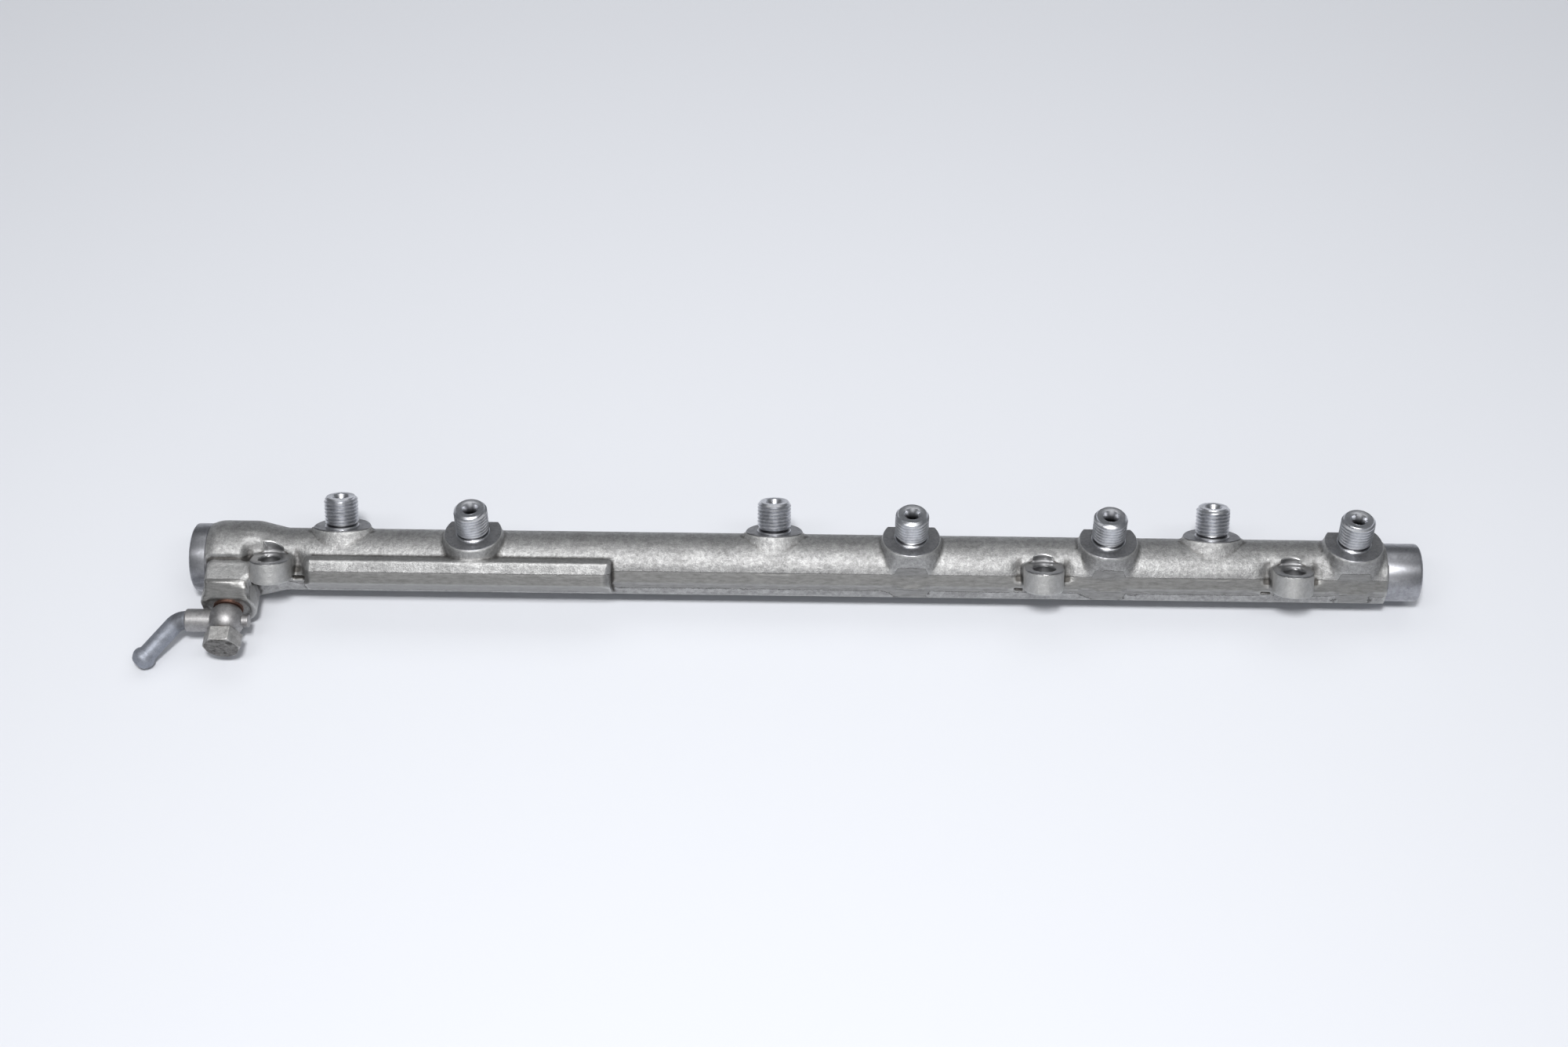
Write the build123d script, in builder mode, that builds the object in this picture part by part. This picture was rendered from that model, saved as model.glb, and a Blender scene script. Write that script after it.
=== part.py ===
from build123d import *
import os
from math import acos, asin, atan2, cos, degrees, hypot, radians, sin, tan

os.makedirs("parts", exist_ok=True)

# A forged common rail for a six-cylinder diesel engine, as it lies on a table.
# Angles are counted round the rail from the line of the lug bolts, towards the front.
# A place across the rail is given as (out, up): up runs along the lug bolts,
# out runs square to them towards the front. Distances along the rail start at its left end.

# How the rail lies
rest_lean = 37.0  # the lug bolts lean back from upright by this much
axis_height = 15.9  # the swell at the left lies on the table
axis_back = 14.1
rail_start = -246.1  # x of the left end

# Forged and turned outline
tube_radius = 13.05
left_ring_radius = 14.5
left_ring_length = 6.8
left_swell_radius = 15.9
left_swell_start = 10.5
left_swell_end = 27.0
left_taper_end = 39.0
right_turned_radius = 12.1
right_turned_length = 14.6
end_chamfer = 1.0
last_port_to_end = 28.6
machined_edge = 0.4

# Drillings along the rail
main_bore_radius = 5.0
main_bore_stop = 22.0  # the main bore ends this far short of the right end
sensor_passage_radius = 2.0
left_thread_radius = 8.25  # tapping drill of M18 x 1.5
left_thread_depth = 21.0
right_thread_radius = 5.25  # tapping drill of M12 x 1.5
right_thread_depth = 14.0
thread_mouth_chamfer = 0.8
drill_point = 118.0

# Pipe ports
port_tilt = 24.6  # the leaning ports point this far towards the front
upright_ports = (62.4, 245.1, 428.6)
leaning_ports = (118.9, 302.6, 384.6, 486.4)
upright_rise = 1.62  # from the tube's surface to the flat of a boss
leaning_rise = 3.15
boss_radius = 12.0
boss_draft = 12.0
upright_slope_out = 7.4  # where the sloping front of an upright boss begins
leaning_slope_back = 6.4  # where the sloping back of a leaning boss begins
slope_clearance = 0.05  # between the slopes and the tube

# Screwed spigot of a port
thread_radius = 7.0  # M14 x 1.5
spigot_length = 13.16
lead_in = 1.15
seat_mouth_radius = 3.55
seat_angle = 60.0
port_bore_radius = 1.5

# Lugs
lug_stations = (35.4, 357.4, 460.2)
lug_radius = 8.2
lug_out = 18.3
lug_top = 5.6
lug_bottom = -3.8
lug_hole_radius = 4.5  # clears an M8 bolt
lug_spotface_radius = 8.9
pocket_half_width = 12.2
pocket_wall_out = 10.2
pocket_corner = 2.2
lug_blend = 1.7

# Trimmed flash line along both sides, and the rib at the front
trim_proud = 0.05  # from the tube's side to the trimmed faces
trim_top = 0.0
trim_bottom = -4.9
trim_foot_out = 8.8
trim_foot = -11.1
rib_start = 48.8
rib_end = 177.4
rib_proud = 6.25  # from the tube's side to the face of the rib
rib_shelf = 1.3  # the top edge of the rib stands back this far
rib_top = 5.2
rib_end_radius = 4.0

# Boss of the return connection
return_station = 17.1
return_angle = 130.0
return_seat = 24.6
return_boss_radius = 11.75
return_spotface_radius = 9.6
return_spotface_depth = 0.7
shoulder_start = 7.8
shoulder_end = 26.6
shoulder_root_out = 15.5
shoulder_root = 3.5
shoulder_crest_out = 22.6
shoulder_crest = -3.0
return_front = 23.4
shoulder_corner = 1.8
return_thread_radius = 3.5  # tapping drill of M8 x 1
return_thread_depth = 13.0
return_passage_radius = 1.25

# Sealing rings, banjo eye, hollow bolt and hose pipe
ring_thickness = 1.0
inner_ring_radius = 6.2
outer_ring_radius = 5.2
eye_radius = 7.5
eye_half = 5.6
eye_bands = 5  # a round band and two cones on each side make up the ball
socket_radius = 4.8
socket_reach = 16.6
socket_chamfer = 0.4
nub_radius = 2.7
nub_reach = 9.6
eye_bore_radius = 4.1
bolt_neck_radius = 3.95
neck_clearance = 0.3  # between the neck and the seat on the rail
bolt_thread_clearance = 0.05
bolt_thread_gap = 1.0  # left free at the bottom of the tapped hole
bolt_bore_radius = 1.9
bolt_cross_radius = 1.4
hex_across_flats = 14.0
hex_height = 6.9
hex_turn = 0.0
hex_corner_angle = 30.0
pipe_radius = 3.85
pipe_wall = 1.0
pipe_seat_depth = 7.0
pipe_drop_angle = 161.5  # the pipe bends towards this side of the rail
pipe_lead = 0.0
pipe_bend_radius = 7.5
pipe_bend_angle = 48.0
pipe_straight = 16.0
bead_radius = 4.85
bead_length = 3.4
tip_length = 2.2

# Derived places
rail_length = leaning_ports[-1] + last_port_to_end
forging_end = rail_length - right_turned_length
upright_flat_height = tube_radius + upright_rise
leaning_flat_height = tube_radius + leaning_rise
trim_out = tube_radius + trim_proud
rib_out = tube_radius + rib_proud
rib_shelf_out = rib_out - rib_shelf
wall_behind_lug = lug_out - pocket_wall_out
boss_kinds = (
    (leaning_ports, port_tilt, leaning_flat_height, -1, leaning_slope_back),
    (upright_ports, 0.0, upright_flat_height, 1, upright_slope_out),
)
spigot_ports = [(d, 0.0, upright_flat_height) for d in upright_ports]
spigot_ports += [(d, port_tilt, leaning_flat_height) for d in leaning_ports]
eye_height = return_seat + ring_thickness + eye_half
head_height = eye_height + eye_half + ring_thickness
return_thread_end = return_seat - return_thread_depth
hex_corner_rise = (hex_across_flats / 2 + machined_edge) * tan(radians(hex_corner_angle))


def across(angle):
    """Unit direction square to the rail, at an angle from the lug bolts towards the front."""
    turn = radians(angle - rest_lean)
    return Vector(0, -sin(turn), cos(turn))


def on_axis(distance):
    """Point of the rail's axis at a distance from the left end."""
    return Vector(rail_start + distance, axis_back, axis_height)


def facing(distance, angle, height=0.0):
    """Plane square to a direction across the rail; its own x runs along the rail."""
    origin = on_axis(distance) + across(angle) * height
    return Plane(origin=origin, x_dir=(1, 0, 0), z_dir=across(angle))


def profile_plane(distance, angle, height=0.0):
    """Plane along the rail for turned profiles; its own y points in the direction across."""
    origin = on_axis(distance) + across(angle) * height
    return Plane(origin=origin, x_dir=(1, 0, 0), z_dir=Vector(1, 0, 0).cross(across(angle)))


def cross_section(distance):
    """Plane square to the rail; its own x points back and its own y along the lug bolts."""
    return Plane(origin=on_axis(distance), x_dir=across(-90), z_dir=(1, 0, 0))


def spot(out, up):
    """Place across the rail in the own coordinates of a cross section."""
    return (-out, up)


def slope_turn(slope_start, height):
    """Angle between a boss and the tangent of the tube that meets the boss's flat at slope_start."""
    return degrees(atan2(slope_start, height) + acos(tube_radius / hypot(slope_start, height)))


def lug_plane(distance, out, up):
    """Plane square to the lug bolts at a place (out, up) across the rail."""
    origin = on_axis(distance) + across(90) * out + across(0) * up
    return Plane(origin=origin, x_dir=(1, 0, 0), z_dir=across(0))


rail_axis = Axis(on_axis(0), (1, 0, 0))
return_axis = Axis(on_axis(return_station), across(return_angle))
eye_centre = on_axis(return_station) + across(return_angle) * eye_height

with BuildPart() as rib:
    # Rib at the front of the rail, trimmed on the flash line, with rounded ends
    with BuildSketch(cross_section(rib_start)):
        with BuildLine():
            Polyline(
                spot(0, rib_top),
                spot(rib_shelf_out, rib_top),
                spot(rib_out, trim_top),
                spot(rib_out, trim_bottom),
                spot(trim_foot_out, trim_foot),
                spot(0, trim_foot),
                close=True,
            )
        make_face()
    extrude(amount=rib_end - rib_start)
    with BuildSketch(lug_plane((rib_start + rib_end) / 2, 0, trim_foot)):
        RectangleRounded(rib_end - rib_start, 2 * rib_out, rib_end_radius)
    extrude(amount=rib_top - trim_foot, mode=Mode.INTERSECT)

with BuildPart() as shoulder:
    # Shoulder over the return connection, with rounded corners at the front
    with BuildSketch(cross_section(shoulder_start)):
        with BuildLine():
            Polyline(
                spot(0, shoulder_root),
                spot(shoulder_root_out, shoulder_root),
                spot(shoulder_crest_out, shoulder_crest),
                spot(return_front, shoulder_crest),
                spot(return_front, trim_foot),
                spot(0, trim_foot),
                close=True,
            )
        make_face()
    extrude(amount=shoulder_end - shoulder_start)
    with BuildSketch(lug_plane((shoulder_start + shoulder_end) / 2, 0, trim_foot)):
        RectangleRounded(shoulder_end - shoulder_start, 2 * return_front, shoulder_corner)
    extrude(amount=shoulder_root - trim_foot, mode=Mode.INTERSECT)

with BuildPart() as rail_body:
    # Turned ends and forged tube
    with BuildSketch(profile_plane(0, 0)):
        with BuildLine():
            Polyline(
                (0, 0),
                (0, left_ring_radius - end_chamfer),
                (end_chamfer, left_ring_radius),
                (left_ring_length, left_ring_radius),
                (left_swell_start, left_swell_radius),
                (left_swell_end, left_swell_radius),
                (left_taper_end, tube_radius),
                (forging_end, tube_radius),
                (forging_end, right_turned_radius),
                (rail_length - end_chamfer, right_turned_radius),
                (rail_length, right_turned_radius - end_chamfer),
                (rail_length, 0),
                close=True,
            )
        make_face()
    revolve(axis=rail_axis)

    # Bosses of the ports, with forging draft down to the tube
    for distances, angle, height, side, slope_start in boss_kinds:
        with BuildSketch(*[facing(d, angle, height) for d in distances]):
            Circle(boss_radius)
        extrude(amount=-height, taper=-boss_draft)
    # Slopes on the bosses, just clear of the tube: at the back of the leaning ones,
    # at the front of the upright ones
    for distances, angle, height, side, slope_start in boss_kinds:
        slope_angle = angle + side * slope_turn(slope_start, height)
        with BuildSketch(*[facing(d, slope_angle, tube_radius + slope_clearance) for d in distances]):
            Rectangle(3 * boss_radius, 2 * boss_radius)
        extrude(amount=boss_radius, mode=Mode.SUBTRACT)

    # Flash line, trimmed square along the front and the back
    with BuildSketch(cross_section(left_swell_end)):
        with BuildLine():
            Polyline(
                spot(0, trim_top),
                spot(trim_out, trim_top),
                spot(trim_out, trim_bottom),
                spot(trim_foot_out, trim_foot),
                spot(0, trim_foot),
                close=True,
            )
        make_face()
        mirror(about=Plane.YZ)
    extrude(amount=forging_end - left_swell_end)

    add(rib.part)

    # Pockets in the flank of the tube, beside and above the lugs
    with BuildSketch(*[lug_plane(d, pocket_wall_out + lug_out / 2, lug_bottom) for d in lug_stations]):
        RectangleRounded(2 * pocket_half_width, lug_out, pocket_corner)
    extrude(amount=tube_radius - lug_bottom, mode=Mode.SUBTRACT)

    # Shoulder and round boss of the return connection, flat at the front
    add(shoulder.part)
    with BuildSketch(facing(return_station, return_angle)):
        Circle(return_boss_radius)
    extrude(amount=return_seat + return_spotface_depth)
    front_clear = Plane(
        origin=on_axis(return_station) + across(90) * return_front,
        x_dir=(1, 0, 0),
        z_dir=across(90),
    )
    with BuildSketch(front_clear):
        Rectangle(3 * return_boss_radius, 6 * return_boss_radius)
    extrude(amount=return_boss_radius, mode=Mode.SUBTRACT)
    with BuildSketch(facing(return_station, return_angle, return_seat)):
        Circle(return_spotface_radius)
    extrude(amount=return_boss_radius, mode=Mode.SUBTRACT)

    # Lugs on webs as wide as themselves, which flare into the pocket walls
    web_foot = lug_radius + lug_blend
    with BuildSketch(*[lug_plane(d, lug_out, lug_bottom) for d in lug_stations]):
        Circle(lug_radius)
        with BuildLine():
            Polyline((-lug_radius, wall_behind_lug - lug_blend), (-lug_radius, 0), (lug_radius, 0))
            Line((lug_radius, 0), (lug_radius, wall_behind_lug - lug_blend))
            RadiusArc((lug_radius, wall_behind_lug - lug_blend), (web_foot, wall_behind_lug), lug_blend)
            Polyline((web_foot, wall_behind_lug), (web_foot, lug_out), (-web_foot, lug_out))
            Line((-web_foot, lug_out), (-web_foot, wall_behind_lug))
            RadiusArc((-web_foot, wall_behind_lug), (-lug_radius, wall_behind_lug - lug_blend), lug_blend)
        make_face()
    extrude(amount=lug_top - lug_bottom)
    # Spotfaces and bolt holes
    with BuildSketch(*[lug_plane(d, lug_out, lug_top) for d in lug_stations]):
        Circle(lug_spotface_radius)
    extrude(amount=tube_radius, mode=Mode.SUBTRACT)
    with Locations(*[lug_plane(d, lug_out, lug_top) for d in lug_stations]):
        Hole(lug_hole_radius, depth=lug_top - lug_bottom)

    # Screwed spigots
    for distance, angle, height in spigot_ports:
        with BuildSketch(profile_plane(distance, angle, height)):
            with BuildLine():
                Polyline(
                    (0, 0),
                    (thread_radius, 0),
                    (thread_radius, spigot_length - lead_in),
                    (thread_radius - lead_in, spigot_length),
                    (0, spigot_length),
                    close=True,
                )
            make_face()
        revolve(axis=Axis(on_axis(distance), across(angle)))
        port_depth = height + spigot_length
        with Locations(facing(distance, angle, port_depth)):
            CounterSinkHole(port_bore_radius, seat_mouth_radius, port_depth, seat_angle)

    # Main bore, the two end threads and the return drilling
    point_length = main_bore_radius / tan(radians(drill_point / 2))
    with BuildSketch(profile_plane(0, 0)):
        with BuildLine():
            Polyline(
                (0, 0),
                (0, left_thread_radius + thread_mouth_chamfer),
                (thread_mouth_chamfer, left_thread_radius),
                (left_thread_depth, left_thread_radius),
                (left_thread_depth, main_bore_radius),
                (rail_length - main_bore_stop - point_length, main_bore_radius),
                (rail_length - main_bore_stop, 0),
                close=True,
            )
        make_face()
        with BuildLine():
            Polyline(
                (rail_length - main_bore_stop - point_length, 0),
                (rail_length - main_bore_stop - point_length, sensor_passage_radius),
                (rail_length - right_thread_depth, sensor_passage_radius),
                (rail_length - right_thread_depth, right_thread_radius),
                (rail_length - thread_mouth_chamfer, right_thread_radius),
                (rail_length, right_thread_radius + thread_mouth_chamfer),
                (rail_length, 0),
                close=True,
            )
        make_face()
    revolve(axis=rail_axis, mode=Mode.SUBTRACT)
    with Locations(facing(return_station, return_angle, return_seat)):
        Hole(return_thread_radius, depth=return_thread_depth)
        Hole(return_passage_radius, depth=return_seat)
rail_body.part.label = "rail_body"


def sealing_ring(radius, height):
    """Flat ring round the hollow bolt, lying on a face at a height above the rail's axis."""
    with BuildPart() as ring:
        with BuildSketch(facing(return_station, return_angle, height)):
            Circle(radius)
            Circle(eye_bore_radius, mode=Mode.SUBTRACT)
        extrude(amount=ring_thickness)
    return ring.part


inner_ring = sealing_ring(inner_ring_radius, return_seat)
inner_ring.label = "inner_ring"
outer_ring = sealing_ring(outer_ring_radius, eye_height + eye_half)
outer_ring.label = "outer_ring"

with BuildPart() as banjo_eye:
    # Ball cut flat on both sides, of bands whose edges lie on the sphere
    band_turn = asin(eye_half / eye_radius) * 2 / eye_bands
    band_edges = [band_turn * (band - eye_bands / 2) for band in range(eye_bands + 1)]
    ball_outline = [(eye_radius * cos(turn), eye_radius * sin(turn)) for turn in band_edges]
    with BuildSketch(profile_plane(return_station, return_angle, eye_height)):
        with BuildLine():
            Polyline((0, -eye_half), *ball_outline, (0, eye_half), close=True)
        make_face()
    revolve(axis=return_axis)
    # Socket for the pipe on the left, stop nub on the right
    socket_mouth = Plane(origin=eye_centre - Vector(socket_reach, 0, 0), z_dir=(-1, 0, 0))
    with BuildSketch(socket_mouth):
        Circle(socket_radius)
    extrude(amount=-socket_reach)
    chamfer(banjo_eye.faces().sort_by(Axis.X)[0].edges(), socket_chamfer)
    with BuildSketch(Plane(origin=eye_centre + Vector(nub_reach, 0, 0), z_dir=(1, 0, 0))):
        Circle(nub_radius)
    extrude(amount=-nub_reach)
    # Bore for the bolt and passage from the pipe
    with Locations(facing(return_station, return_angle, eye_height + eye_half)):
        Hole(eye_bore_radius, depth=2 * eye_half)
    with Locations(socket_mouth):
        Hole(pipe_radius, depth=pipe_seat_depth)
        Hole(pipe_radius - pipe_wall, depth=socket_reach)
banjo_eye.part.label = "banjo_eye"

with BuildPart() as banjo_bolt:
    # Shank, tapped length and head, bored up from the tip to the cross hole
    with BuildSketch(facing(return_station, return_angle, return_thread_end + bolt_thread_gap)):
        Circle(return_thread_radius - bolt_thread_clearance)
    extrude(amount=head_height - return_thread_end - bolt_thread_gap)
    with BuildSketch(facing(return_station, return_angle, return_seat + neck_clearance)):
        Circle(bolt_neck_radius)
    extrude(amount=head_height - return_seat - neck_clearance)
    with BuildSketch(facing(return_station, return_angle, head_height)):
        RegularPolygon(hex_across_flats / 2, 6, major_radius=False, rotation=hex_turn)
    extrude(amount=hex_height)
    # Corners of the head turned off at its outer end
    with BuildSketch(profile_plane(return_station, return_angle, head_height + hex_height)):
        with BuildLine():
            Polyline(
                (hex_across_flats / 2 - machined_edge, 0),
                (hex_across_flats, 0),
                (hex_across_flats, -hex_corner_rise),
                close=True,
            )
        make_face()
    revolve(axis=return_axis, mode=Mode.SUBTRACT)
    with BuildSketch(facing(return_station, return_angle, return_thread_end + bolt_thread_gap)):
        Circle(bolt_bore_radius)
    extrude(amount=eye_height - return_thread_end - bolt_thread_gap + bolt_cross_radius, mode=Mode.SUBTRACT)
    with BuildSketch(Plane(origin=eye_centre, z_dir=(-1, 0, 0))):
        Circle(bolt_cross_radius)
    extrude(amount=bolt_neck_radius, both=True, mode=Mode.SUBTRACT)
banjo_bolt.part.label = "banjo_bolt"

with BuildPart() as return_pipe:
    # Hose pipe: straight out of the socket, round one bend, and straight to the open end
    drop = across(pipe_drop_angle)
    bend = radians(pipe_bend_angle)
    bend_start = eye_centre - Vector(socket_reach + pipe_lead, 0, 0)
    bend_axis = Axis(bend_start + drop * pipe_bend_radius, Vector(-1, 0, 0).cross(drop))
    run_dir = Vector(-1, 0, 0) * cos(bend) + drop * sin(bend)
    corner_reach = pipe_bend_radius * tan(bend / 2)
    corner = bend_start - Vector(corner_reach, 0, 0)
    run_length = pipe_straight + bead_length + tip_length
    with BuildSketch(Plane(origin=bend_start, x_dir=drop, z_dir=(-1, 0, 0))):
        Circle(pipe_radius)
    extrude(amount=-pipe_seat_depth - pipe_lead)
    with BuildSketch(Plane(origin=bend_start, x_dir=drop, z_dir=(-1, 0, 0))):
        Circle(pipe_radius)
    revolve(axis=bend_axis, revolution_arc=pipe_bend_angle)
    with BuildSketch(Plane(origin=corner + run_dir * corner_reach, z_dir=run_dir)):
        Circle(pipe_radius)
    extrude(amount=run_length)
    # Bead behind the tip
    with BuildSketch(Plane(origin=corner + run_dir * (corner_reach + pipe_straight), z_dir=run_dir)):
        Circle(bead_radius)
    extrude(amount=bead_length)
    # Bores from both ends, which meet in the bend
    with Locations(Plane(origin=corner + run_dir * (corner_reach + run_length), z_dir=run_dir)):
        Hole(pipe_radius - pipe_wall, depth=corner_reach + run_length)
    with Locations(Plane(origin=eye_centre - Vector(socket_reach - pipe_seat_depth, 0, 0), z_dir=(1, 0, 0))):
        Hole(pipe_radius - pipe_wall, depth=pipe_seat_depth + pipe_lead + corner_reach)
return_pipe.part.label = "return_pipe"

for piece in (rail_body, banjo_eye, banjo_bolt, return_pipe):
    export_step(piece.part, f"parts/{piece.part.label}.step")
for ring in (inner_ring, outer_ring):
    export_step(ring, f"parts/{ring.label}.step")
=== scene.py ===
from math import acos, atan2, cos, degrees, hypot, pi, radians, sin, tan

import bmesh
import bpy
from mathutils import Matrix, Vector, noise


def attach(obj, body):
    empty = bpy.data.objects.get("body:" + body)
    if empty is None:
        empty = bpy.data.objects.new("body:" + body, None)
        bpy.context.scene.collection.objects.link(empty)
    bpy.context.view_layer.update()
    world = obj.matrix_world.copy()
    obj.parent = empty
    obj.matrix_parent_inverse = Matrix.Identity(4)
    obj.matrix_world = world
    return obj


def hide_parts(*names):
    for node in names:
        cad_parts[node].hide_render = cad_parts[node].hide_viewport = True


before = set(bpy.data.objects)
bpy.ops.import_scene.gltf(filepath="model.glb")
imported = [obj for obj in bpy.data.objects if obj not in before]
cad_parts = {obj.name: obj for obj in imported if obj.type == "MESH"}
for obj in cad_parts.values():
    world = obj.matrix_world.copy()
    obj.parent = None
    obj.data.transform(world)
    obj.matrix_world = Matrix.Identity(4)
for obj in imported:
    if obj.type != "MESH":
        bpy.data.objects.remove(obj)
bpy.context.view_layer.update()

MM = 0.001

# How the rail lies, in mm and degrees: lean of the lug bolts, left end and axis of the tube
LEAN = 37.0
RAIL_X = -246.1
AXIS_Y = 14.1
AXIS_Z = 15.9

# Sizes of the rail that the pieces here repeat, in mm: stations are counted from its left end,
# heights from the tube's axis, and "out" is how far a place stands to the front of it
RAIL_LENGTH = 515.0
FORGING_END = 500.4
TUBE = 13.05
BORE = 5.0

# Bosses: the upright ones stand in line with the lug bolts, the leaning ones tilt to the front
UPRIGHT_PORTS = (62.4, 245.1, 428.6)
LEANING_PORTS = (118.9, 302.6, 384.6, 486.4)
PORT_TILT = 24.6
UPRIGHT_FLAT = 14.67
LEANING_FLAT = 16.2
BOSS = 12.0
FLAT_EDGE = 14.65  # radius of the front edge of an upright flat
FLAT_BACK = 6.5  # how far its centre lies behind the port
SLOPE_BACK = 6.4  # how far behind a leaning port its boss slopes down

# Lugs, the faces trimmed at the front, the rib beside the left lug and the shoulder of the union
LUGS = (35.4, 357.4, 460.2)
LUG_OUT = 18.3
LUG_TOP = 5.6
LUG_BOTTOM = -3.8
LUG = 8.2
LUG_HOLE = 4.5
SPOTFACE = 8.9
GROOVE = (8.6, 12.2)
TRIM_OUT = 13.1
RIB = (48.8, 177.4)
SHOULDER = (7.8, 26.6)
RETURN_STATION = 17.1
RETURN_ANGLE = 130.0

# Smooth dark strip on the top edge: station and angle of its middle, and half its extent
STRIP_STATION, STRIP_HALF_LENGTH = 347.0, 24.0
STRIP_TURN, STRIP_HALF_TURN = -19.0, 11.0

# What the forging's vertices carry for its material, from 0 to 1, and the painted shadow at the bottom of a
# nick, a hollow value beyond it
NICK_PAINTED_SHADOW = 1.4
FORGING_MARKS = ("machined", "sheared", "hollow", "rim", "strip")
FORGING_TRIANGLES = 192000


# ---------- places on the rail ----------

def across(angle):
    """Unit direction square to the rail, at an angle from the lug bolts towards the front."""
    turn = radians(angle - LEAN)
    return Vector((0, -sin(turn), cos(turn)))


def spot(distance, angle=0.0, height=0.0):
    """Place in metres at a distance along the rail and a height from its axis."""
    return (Vector((RAIL_X + distance, AXIS_Y, AXIS_Z)) + across(angle) * height) * MM


def on_boss(distance, angle, height):
    """Matrix whose z points out of the rail at that angle; local mm become metres."""
    up = across(angle)
    side = Vector((1, 0, 0))
    turn = Matrix((side, up.cross(side), up)).transposed().to_4x4()
    return Matrix.Translation(spot(distance, angle, height)) @ turn @ Matrix.Scale(MM, 4)


def rail_place(co):
    """(distance, out, up) in mm of a point in metres: out and up are square to the rail."""
    p = co / MM - Vector((RAIL_X, AXIS_Y, AXIS_Z))
    return p.x, p.dot(across(90)), p.dot(across(0))


# ---------- mesh helpers ----------

def new_mesh(name, bm):
    """Turns a bmesh into a mesh and frees it."""
    mesh = bpy.data.meshes.new(name)
    bm.to_mesh(mesh)
    bm.free()
    return mesh


def new_object(name, data):
    obj = bpy.data.objects.new(name, data)
    bpy.context.scene.collection.objects.link(obj)
    return obj


def piece(name, bm, material, replaced):
    """Makes an object of a finished bmesh, smooth with sharp edges, riding on the rail."""
    for face in bm.faces:
        face.smooth = True
    for edge in bm.edges:
        edge.smooth = not (edge.is_manifold and edge.calc_face_angle(0) > radians(32))
    obj = new_object(name, new_mesh(name, bm))
    obj.data.materials.append(material)
    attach(obj, "root")
    if replaced:
        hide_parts(*replaced)
    return obj


def lathe(bm, profile, steps=96, closed=False):
    """Spins a profile of (radius, height) points round z."""
    verts = [bm.verts.new((r, 0, z)) for r, z in profile]
    pairs = list(zip(verts, verts[1:])) + ([(verts[-1], verts[0])] if closed else [])
    edges = [bm.edges.new(pair) for pair in pairs]
    bmesh.ops.spin(bm, geom=verts + edges, axis=(0, 0, 1), cent=(0, 0, 0), angle=2 * pi,
                   steps=steps, use_merge=True)
    bmesh.ops.remove_doubles(bm, verts=bm.verts, dist=1e-4)


def node_copy(node):
    """A merged bmesh of a CAD node."""
    bm = bmesh.new()
    bm.from_mesh(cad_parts[node].data)
    bmesh.ops.remove_doubles(bm, verts=bm.verts, dist=1e-7)
    return bm


def remeshed(bm, voxel):
    """A closed, even skin round a bmesh, built of voxels of a size in mm; the bmesh is freed."""
    mesh = new_mesh("remesh_work", bm)
    obj = new_object("remesh_work", mesh)
    remesh = obj.modifiers.new("voxels", "REMESH")
    remesh.mode = "VOXEL"
    remesh.voxel_size = voxel * MM
    remesh.adaptivity = 0.0
    skin = bmesh.new()
    skin.from_mesh(obj.evaluated_get(bpy.context.evaluated_depsgraph_get()).to_mesh())
    bpy.data.objects.remove(obj)
    bpy.data.meshes.remove(mesh)
    return skin


def thinned(obj, triangles):
    """Collapses a finished mesh to about a number of triangles."""
    mesh = obj.data
    count = sum(len(p.vertices) - 2 for p in mesh.polygons)
    if count <= triangles:
        return
    thin = obj.modifiers.new("thin", "DECIMATE")
    thin.ratio = triangles / count
    bpy.context.view_layer.update()
    evaluated = obj.evaluated_get(bpy.context.evaluated_depsgraph_get())
    shaped = bpy.data.meshes.new_from_object(evaluated)
    obj.modifiers.remove(thin)
    obj.data = shaped
    bpy.data.meshes.remove(mesh)
    shaped.name = obj.name


# ---------- materials ----------

def group(name, inputs, outputs):
    """An empty node group with named sockets."""
    tree = bpy.data.node_groups.new(name, "ShaderNodeTree")
    for kind, label, value in inputs:
        socket = tree.interface.new_socket(label, in_out="INPUT", socket_type="NodeSocket" + kind)
        if value is not None:
            socket.default_value = value
    for kind, label in outputs:
        tree.interface.new_socket(label, in_out="OUTPUT", socket_type="NodeSocket" + kind)
    return tree, tree.nodes.new("NodeGroupInput"), tree.nodes.new("NodeGroupOutput")


def add(tree, kind, links=None, **values):
    """Adds a node, sets its properties or input sockets by name, and links inputs."""
    node = tree.nodes.new("ShaderNode" + kind)
    for key, value in values.items():
        if hasattr(node, key):
            setattr(node, key, value)
        else:
            node.inputs[key.replace("_", " ")].default_value = value
    for key, source in (links or {}).items():
        tree.links.new(source, node.inputs[key])
    return node


def ramp(tree, source, stops):
    """Maps a value through (position, grey or colour) stops."""
    node = tree.nodes.new("ShaderNodeValToRGB")
    tree.links.new(source, node.inputs[0])
    elements = node.color_ramp.elements
    while len(elements) < len(stops):
        elements.new(0.5)
    for element, (at, value) in zip(elements, stops):
        element.position = at
        element.color = (*value, 1) if isinstance(value, tuple) else (value, value, value, 1)
    return node.outputs[0]


def noise_value(tree, vector, scale, detail, roughness):
    """Noise whose scale is in repeats per mm."""
    return add(tree, "TexNoise", {"Vector": vector}, Scale=scale / MM, Detail=detail,
               Roughness=roughness).outputs[0]


def fill_inputs(tree, node, values):
    """Links a node's inputs to sockets, or sets them to plain values."""
    for index, value in values:
        if isinstance(value, bpy.types.NodeSocket):
            tree.links.new(value, node.inputs[index])
        else:
            node.inputs[index].default_value = value


def mix_colour(tree, factor, a, b):
    node = tree.nodes.new("ShaderNodeMix")
    node.data_type = "RGBA"
    fill_inputs(tree, node, ((0, factor), (6, a), (7, b)))
    return node.outputs[2]


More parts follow.
